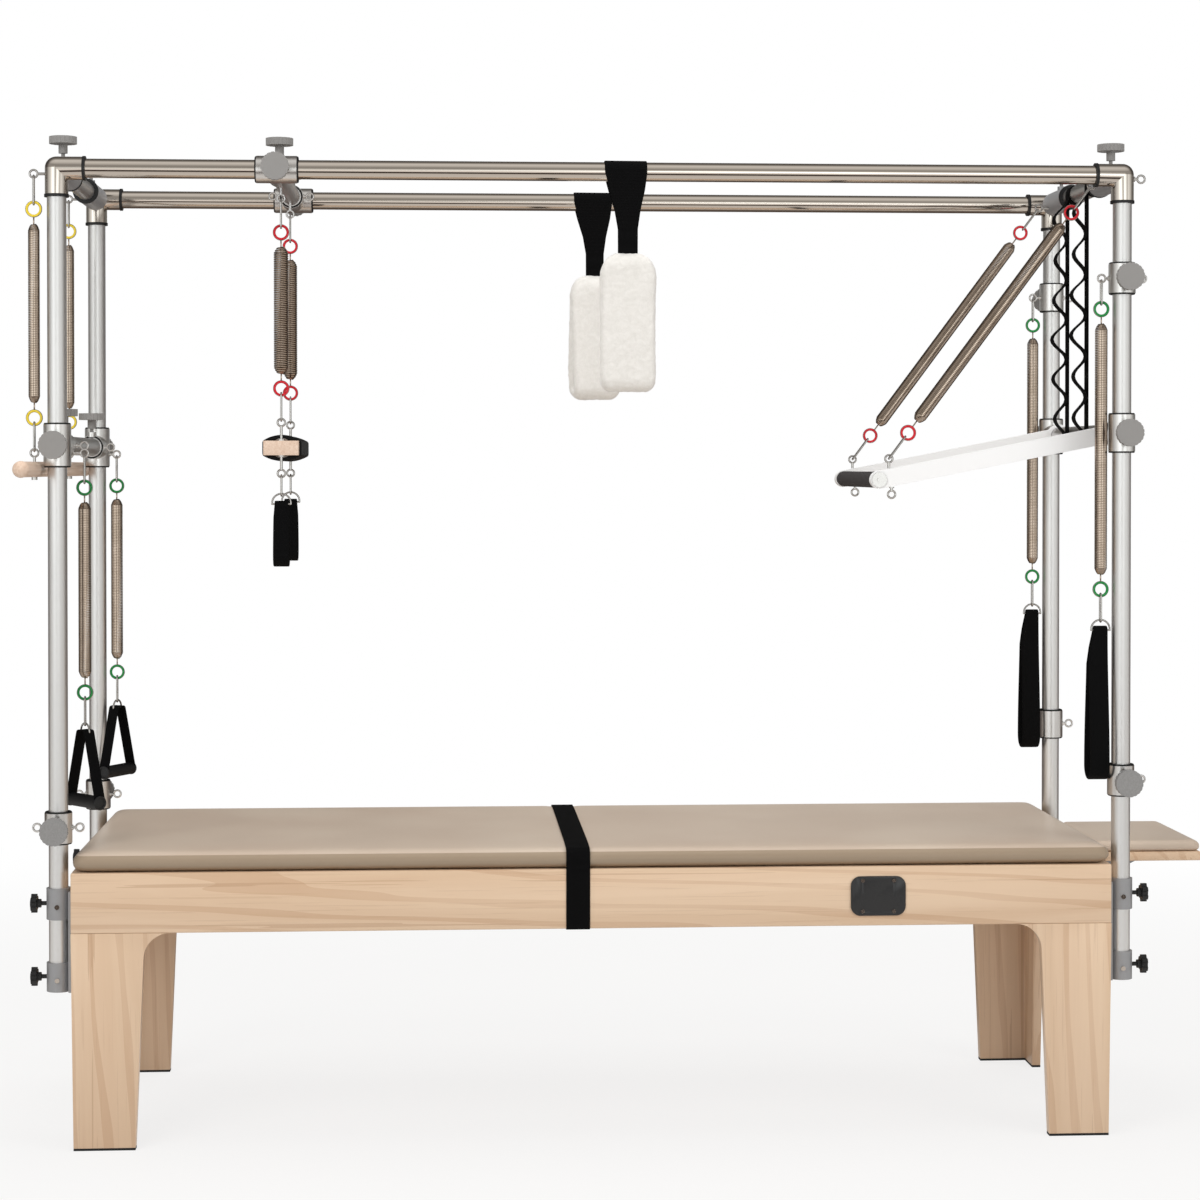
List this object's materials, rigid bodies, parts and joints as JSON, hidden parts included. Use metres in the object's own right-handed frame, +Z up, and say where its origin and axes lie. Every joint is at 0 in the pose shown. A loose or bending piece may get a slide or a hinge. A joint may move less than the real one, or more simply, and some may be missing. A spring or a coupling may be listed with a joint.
{
  "type": "pilates trapeze table",
  "caption": "Wooden pilates trapeze table with a padded top and a tubular frame carrying a sliding trapeze, push-through bar, spring handles, foot loops and fleece slings.",
  "frame": {"origin": "on the floor under the middle of the whole outline", "axes": "+X along the table towards the push-through bar, -Y the front side, +Z up"},
  "size_m": [2.5244, 0.9998, 2.111],
  "materials": {
    "maple": "satin lacquer",
    "deck_wood": "plain",
    "vinyl": "glossy vinyl",
    "black_webbing": "woven",
    "black_plastic": "satin",
    "rubber": "matt",
    "grey_paint": "satin",
    "aluminium": "satin anodised",
    "stainless": "polished",
    "brushed": "brushed",
    "knob_grey": "satin",
    "spring_steel": "satin",
    "white_paint": "gloss",
    "grip_foam": "matt foam",
    "pale_wood": "satin lacquer",
    "black_vinyl": "soft",
    "fleece": "long pile"
  },
  "bodies": {
    "frame": {"side_rails": "maple", "end_rails": "maple", "legs": "maple", "deck_board": "deck_wood", "deck_bearers": "deck_wood", "mattress": "vinyl", "table_strap": "black_webbing", "plaque": "black_plastic", "screws": "stainless", "rubber_feet": "rubber", "extension_board": "maple", "extension_pad": "vinyl", "extension_brackets": "grey_paint", "uprights": "aluminium", "sockets": "grey_paint", "star_knobs": "black_plastic", "top_rails": "stainless", "elbows": "stainless", "end_tubes": "aluminium", "end_sleeves": "grey_paint", "elbow_bushes": "black_plastic", "frame_knobs": "knob_grey", "frame_eyes": "brushed", "carriage_clamps": "stainless", "carriage_tube": "aluminium", "ladder_straps": "black_webbing"},
    "push_bar": {"push_arms": "white_paint", "push_fittings": "brushed", "push_grip": "grip_foam"},
    "bar_spring_upper": {"bar_spring_tops": "brushed"},
    "bar_spring_lower": {"bar_springs": "spring_steel", "bar_spring_ends": "brushed"},
    "trapeze_carrier": {"slider_clamps": "stainless", "slider_tube": "aluminium", "slider_knobs": "knob_grey"},
    "trapeze": {"trapeze_springs": "spring_steel", "trapeze_fittings": "brushed", "trapeze_bar": "pale_wood", "trapeze_pad": "black_vinyl", "trapeze_cuffs": "black_webbing"},
    "crossbar": {"crossbar_clamps": "stainless", "crossbar_tube": "aluminium", "crossbar_knobs": "knob_grey"},
    "pull_pair": {"pull_springs": "spring_steel", "pull_fittings": "brushed", "pull_handles": "black_webbing"},
    "roll_down": {"roll_springs": "spring_steel", "roll_fittings": "brushed", "roll_dowel": "pale_wood"},
    "sling_front": {"sling_strap_front": "black_webbing", "sling_fleece_front": "fleece"},
    "sling_rear": {"sling_strap_rear": "black_webbing", "sling_fleece_rear": "fleece"},
    "low_clamp_front_left": {"clamp_low_front_left": "stainless"},
    "low_clamp_rear_left": {"clamp_low_rear_left": "stainless"},
    "low_clamp_front_right": {"clamp_low_front_right": "stainless"},
    "low_clamp_rear_right": {"clamp_low_rear_right": "stainless"},
    "loop_pair": {"loop_springs": "spring_steel", "loop_fittings": "brushed", "foot_loops": "black_webbing"}
  },
  "joints": [
    {"name": "push_bar_swing", "type": "hinge", "parent": "frame", "child": "push_bar", "pos_m": [1.04225, 0.025, 1.487], "axis": [0, 1, 0], "range_deg": [-11, 11], "stiffness_Nm_per_rad": 100, "springref_deg": 4.87},
    {"name": "bar_spring_turn", "type": "hinge", "parent": "frame", "child": "bar_spring_upper", "pos_m": [0.9921, 0.025, 2.01711], "axis": [0, 1, 0], "range_deg": [-8, 8]},
    {"name": "bar_spring_stretch", "type": "slide", "parent": "bar_spring_upper", "child": "bar_spring_lower", "axis": [-0.5978, 0, -0.8016], "range_m": [-0.09, 0.09], "deforming": ["bar_springs"]},
    {"name": "trapeze_slide", "type": "slide", "parent": "frame", "child": "trapeze_carrier", "axis": [1, 0, 0], "range_m": [-0.1, 0.4]},
    {"name": "trapeze_swing", "type": "hinge", "parent": "trapeze_carrier", "child": "trapeze", "pos_m": [-0.74375, 0.025, 1.9854], "axis": [0, 1, 0], "range_deg": [-15, 15]},
    {"name": "crossbar_slide", "type": "slide", "parent": "frame", "child": "crossbar", "axis": [0, 0, 1], "range_m": [0, 0.25]},
    {"name": "pull_swing", "type": "hinge", "parent": "crossbar", "child": "pull_pair", "pos_m": [-1.15325, 0.025, 1.4404], "axis": [0, -1, 0], "range_deg": [0, 25]},
    {"name": "roll_swing", "type": "hinge", "parent": "frame", "child": "roll_down", "pos_m": [-1.24475, 0.025, 2.0184], "axis": [0, 1, 0], "range_deg": [0, 20]},
    {"name": "loop_swing", "type": "hinge", "parent": "frame", "child": "loop_pair", "pos_m": [0.99775, 0.025, 1.8114], "axis": [0, 1, 0], "range_deg": [0, 20]},
    {"name": "sling_front_swing", "type": "hinge", "parent": "frame", "child": "sling_front", "pos_m": [-0.01075, -0.3005, 2.034], "axis": [1, 0, 0], "range_deg": [-25, 25]},
    {"name": "sling_rear_swing", "type": "hinge", "parent": "frame", "child": "sling_rear", "pos_m": [-0.04175, 0.3505, 2.034], "axis": [1, 0, 0], "range_deg": [-25, 25]},
    {"name": "clamp_front_left_slide", "type": "slide", "parent": "frame", "child": "low_clamp_front_left", "axis": [0, 0, 1], "range_m": [-0.02, 0.5]},
    {"name": "clamp_rear_left_slide", "type": "slide", "parent": "frame", "child": "low_clamp_rear_left", "axis": [0, 0, 1], "range_m": [-0.02, 0.005]},
    {"name": "clamp_front_right_slide", "type": "slide", "parent": "frame", "child": "low_clamp_front_right", "axis": [0, 0, 1], "range_m": [-0.15, 0.26]},
    {"name": "clamp_rear_right_slide", "type": "slide", "parent": "frame", "child": "low_clamp_rear_right", "axis": [0, 0, 1], "range_m": [-0.2, 0.2]}
  ],
  "couplings": [
    {"joint": "bar_spring_turn", "follows": "push_bar_swing", "ratio": 0.456},
    {"joint": "bar_spring_stretch", "follows": "push_bar_swing", "m_per_rad": -0.356}
  ]
}
